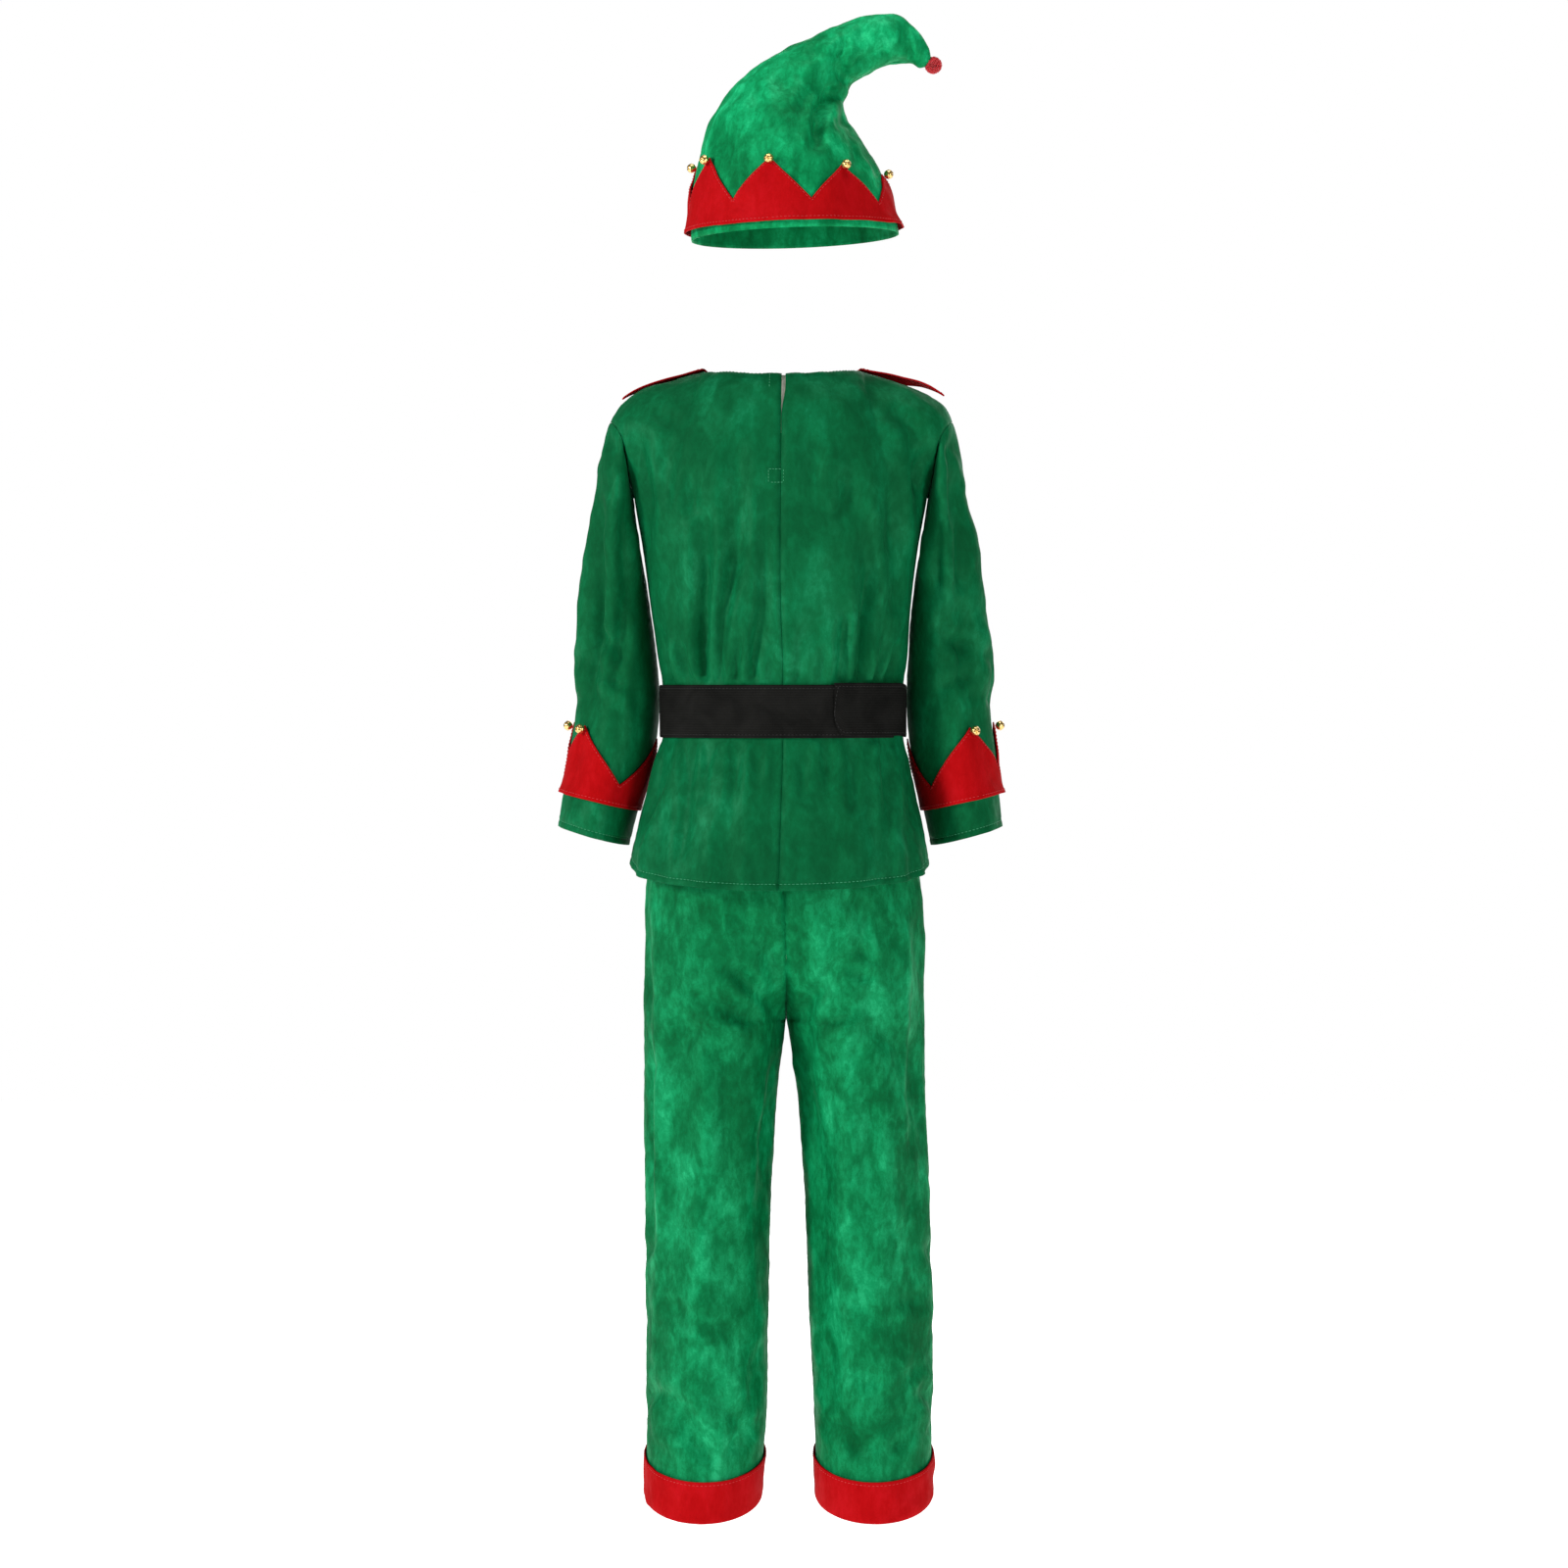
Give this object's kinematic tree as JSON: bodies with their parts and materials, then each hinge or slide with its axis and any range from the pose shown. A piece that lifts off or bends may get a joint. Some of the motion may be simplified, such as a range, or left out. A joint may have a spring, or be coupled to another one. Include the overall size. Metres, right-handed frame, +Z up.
{
  "type": "elf costume",
  "caption": "Child's elf costume held in its worn pose: pointed hat with jagged band and bells, belted tunic with jagged cuffs and collar, straight trousers with cuffs.",
  "frame": {"origin": "middle of the tunic's neck opening, where the wearer's shoulders carry it", "axes": "+Z up, -Y is the back of the costume, +X is to the right as one looks at its back"},
  "size_m": [0.4141, 0.2339, 1.3768],
  "materials": {
    "velvet": "crushed pile, bright sheen on the folds",
    "felt": "short matt nap",
    "webbing": "matt woven",
    "bell": "thin bright plating",
    "tape": "matt woven tape",
    "yarn": "soft yarn"
  },
  "bodies": {
    "root": {"tunic_front": "velvet", "tunic_back_left": "velvet", "tunic_back_right": "velvet", "sleeve_left": "velvet", "sleeve_right": "velvet", "trouser_back_left": "velvet", "trouser_back_right": "velvet", "trouser_front_left": "velvet", "trouser_front_right": "velvet", "hat_back": "velvet", "hat_front": "velvet", "collar": "felt", "sleeve_cuff_left": "felt", "sleeve_cuff_right": "felt", "trouser_cuff_left": "felt", "trouser_cuff_right": "felt", "hat_band": "felt", "belt": "webbing", "closure_tape": "tape", "pompom": "yarn", "bell_hat_1": "bell", "bell_hat_2": "bell", "bell_hat_3": "bell", "bell_hat_4": "bell", "bell_hat_5": "bell", "bell_hat_6": "bell", "bell_hat_7": "bell", "bell_hat_8": "bell", "bell_left_1": "bell", "bell_left_2": "bell", "bell_left_3": "bell", "bell_right_1": "bell", "bell_right_2": "bell", "bell_right_3": "bell"}
  },
  "joints": []
}
